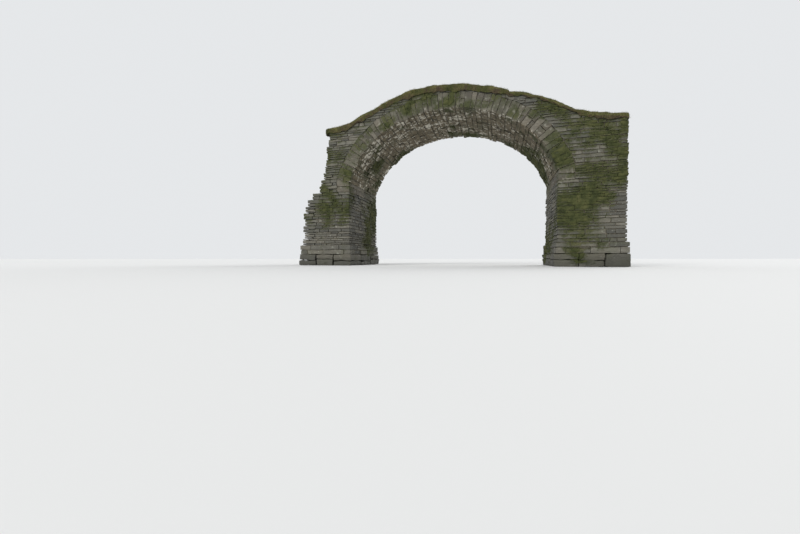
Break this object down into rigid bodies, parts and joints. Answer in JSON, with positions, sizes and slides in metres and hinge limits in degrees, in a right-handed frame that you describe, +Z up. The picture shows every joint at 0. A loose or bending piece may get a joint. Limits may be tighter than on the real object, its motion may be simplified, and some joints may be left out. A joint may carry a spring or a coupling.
{
  "type": "stone arch footbridge",
  "caption": "Old humped footbridge of one rubble stone arch with a turf deck, no parapets and a broken left end, standing on coursed stone piers.",
  "frame": {"origin": "under the middle of the arch and of the bridge's width, at the foot of the piers, which is the water line", "axes": "+X along the bridge to the end that runs into the bank, with the broken end at -X; +Y across the bridge, away from the face that the picture shows; +Z up"},
  "size_m": [8.786, 2.546, 4.8647],
  "materials": {
    "wall_stone": "rough rubble of thin slabs, mossy",
    "arch_stone": "rough split slabs, lime stained below",
    "footing_stone": "large rough blocks, water worn",
    "hearting": "loose rubble in earth and lime",
    "lime_mortar": "weathered lime mortar",
    "turf": "matted sod on earth"
  },
  "bodies": {
    "root": {"left_footing": "footing_stone", "right_footing": "footing_stone", "left_plinth": "footing_stone", "right_plinth": "footing_stone", "left_jamb_wall": "wall_stone", "right_jamb_wall": "wall_stone", "left_front_pier_wall": "wall_stone", "left_back_pier_wall": "wall_stone", "right_front_pier_wall": "wall_stone", "right_back_pier_wall": "wall_stone", "left_pier_hearting": "hearting", "right_pier_hearting": "hearting", "right_end_wall": "wall_stone", "left_springers": "arch_stone", "right_springers": "arch_stone", "front_ring_left": "arch_stone", "front_ring_right": "arch_stone", "back_ring_left": "arch_stone", "back_ring_right": "arch_stone", "front_keystone": "arch_stone", "back_keystone": "arch_stone", "barrel_left": "arch_stone", "barrel_right": "arch_stone", "barrel_key_course": "arch_stone", "left_arch_mortar": "lime_mortar", "right_arch_mortar": "lime_mortar", "left_springer_mortar": "lime_mortar", "right_springer_mortar": "lime_mortar", "left_front_spandrel": "wall_stone", "left_back_spandrel": "wall_stone", "right_front_spandrel": "wall_stone", "right_back_spandrel": "wall_stone", "left_haunch_fill": "hearting", "right_haunch_fill": "hearting", "turf_left": "turf", "turf_right": "turf"}
  },
  "joints": []
}
